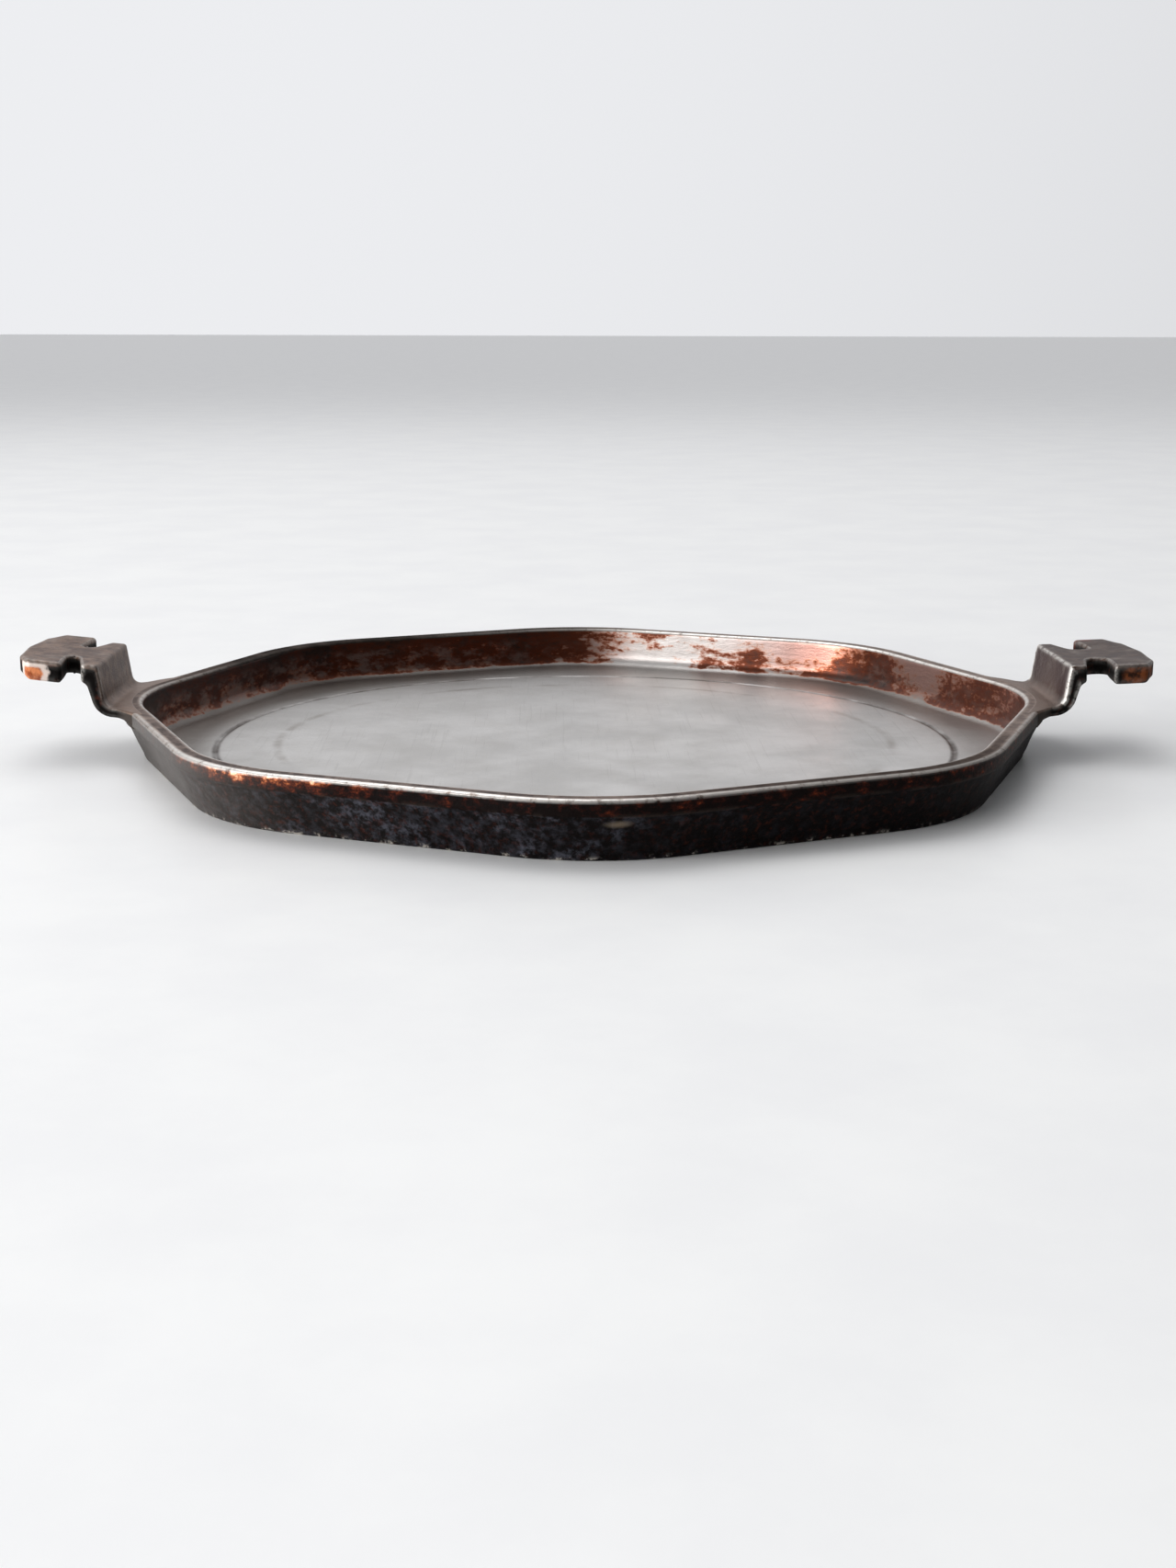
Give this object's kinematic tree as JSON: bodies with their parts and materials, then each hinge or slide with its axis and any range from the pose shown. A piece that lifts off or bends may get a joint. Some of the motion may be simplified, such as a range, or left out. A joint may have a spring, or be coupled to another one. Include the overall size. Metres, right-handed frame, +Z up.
{
  "type": "octagonal griddle tray",
  "caption": "Shallow octagonal cast aluminium griddle tray with a tapering wall, flat rim, round cooking disc inside a groove, and raised notched handles on opposite corners.",
  "frame": {"origin": "middle of the pan's flat underside, on the surface that the tray stands on", "axes": "+Z up out of the tray, X along the line through the handles, +X towards handle_right"},
  "size_m": [0.3877, 0.3184, 0.036],
  "materials": {
    "pan_casting": "cast aluminium, satin inside, with brown-black baked-on varnish on the walls and hammered outside",
    "handle_casting": "cast aluminium, darkened by use, edges worn bright"
  },
  "bodies": {
    "root": {"pan": "pan_casting", "handle_right": "handle_casting", "handle_left": "handle_casting"}
  },
  "joints": []
}
